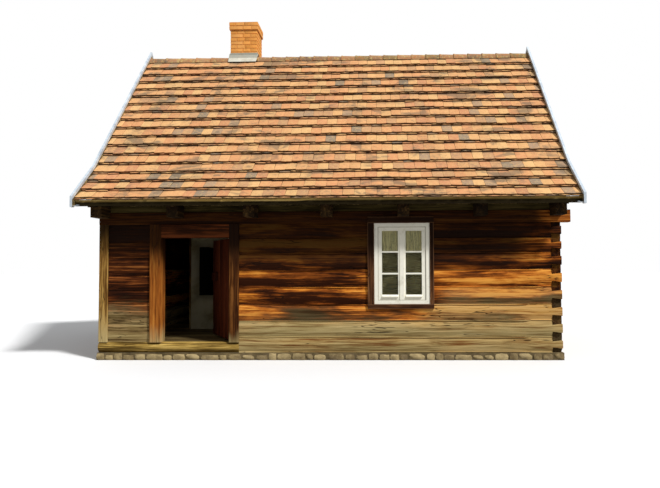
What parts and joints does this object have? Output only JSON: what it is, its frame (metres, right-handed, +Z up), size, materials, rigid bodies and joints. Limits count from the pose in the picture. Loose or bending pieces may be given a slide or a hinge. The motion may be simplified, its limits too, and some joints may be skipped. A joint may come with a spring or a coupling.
{
  "type": "log cabin",
  "caption": "Small log cabin with lapped log corners, a steep tiled roof kicked at the eaves, a brick chimney, a white casement window and a plank door that opens inward.",
  "frame": {"origin": "on the ground under the middle of the house, halfway between the verges and between the eaves", "axes": "+X along the front to the right as seen from outside, +Y from the front wall to the back wall, +Z up"},
  "size_m": [7.9532, 6.2046, 6.652],
  "materials": {
    "fieldstone": "rough",
    "lit_logs": "rough, sun-browned",
    "weathered_sill": "weathered grey-tan",
    "dark_logs": "rough, dark brown",
    "post_wood": "weathered tan",
    "casing_wood": "dark brown stain",
    "roof_timber": "rough",
    "plain_boards": "rough",
    "clay_tile": "matt fired clay",
    "brick": "matt fired clay",
    "whitewash": "limewashed masonry",
    "zinc": "dull zinc sheet",
    "white_paint": "white oil paint",
    "window_glass": "clear",
    "lace": "thin lace",
    "door_paint": "reddish brown",
    "iron": "forged, dark"
  },
  "bodies": {
    "house": {"footing": "fieldstone", "sill_log_round": "weathered_sill", "front_lower_logs": "weathered_sill", "front_middle_logs": "lit_logs", "front_right_logs": "lit_logs", "back_wall_logs": "lit_logs", "right_wall_logs": "lit_logs", "left_wall_logs": "lit_logs", "wall_plates": "dark_logs", "corner_posts": "post_wood", "front_bay_planks": "lit_logs", "door_post_left": "post_wood", "door_post_right": "post_wood", "door_lintel": "dark_logs", "tie_beams": "roof_timber", "infill_boards": "plain_boards", "rafters": "roof_timber", "battens": "roof_timber", "roof_tiles_front": "clay_tile", "roof_tiles_back": "clay_tile", "ridge_tiles": "clay_tile", "barge_boards": "plain_boards", "verge_zinc": "zinc", "gable_boards": "plain_boards", "eaves_boards": "plain_boards", "hearth_base": "whitewash", "hearth_walls": "whitewash", "hearth_hood": "whitewash", "chimney_stack": "brick", "chimney_cap": "brick", "chimney_flashing": "zinc", "floor_joists": "roof_timber", "floor_boards": "plain_boards", "ceiling_boards": "plain_boards", "window_frame": "white_paint", "window_sashes": "white_paint", "window_glass": "window_glass", "window_casing": "casing_wood", "curtain_rod": "iron", "window_curtain": "lace", "door_hooks": "iron"},
    "door": {"door_leaf": "door_paint", "door_ledges": "door_paint", "door_straps": "iron", "door_lock": "door_paint"}
  },
  "joints": [
    {"name": "door_hinge", "type": "hinge", "parent": "house", "child": "door", "pos_m": [-1.586, -2.405, 0.9], "axis": [0, 0, -1], "range_deg": [-60, 35]}
  ]
}
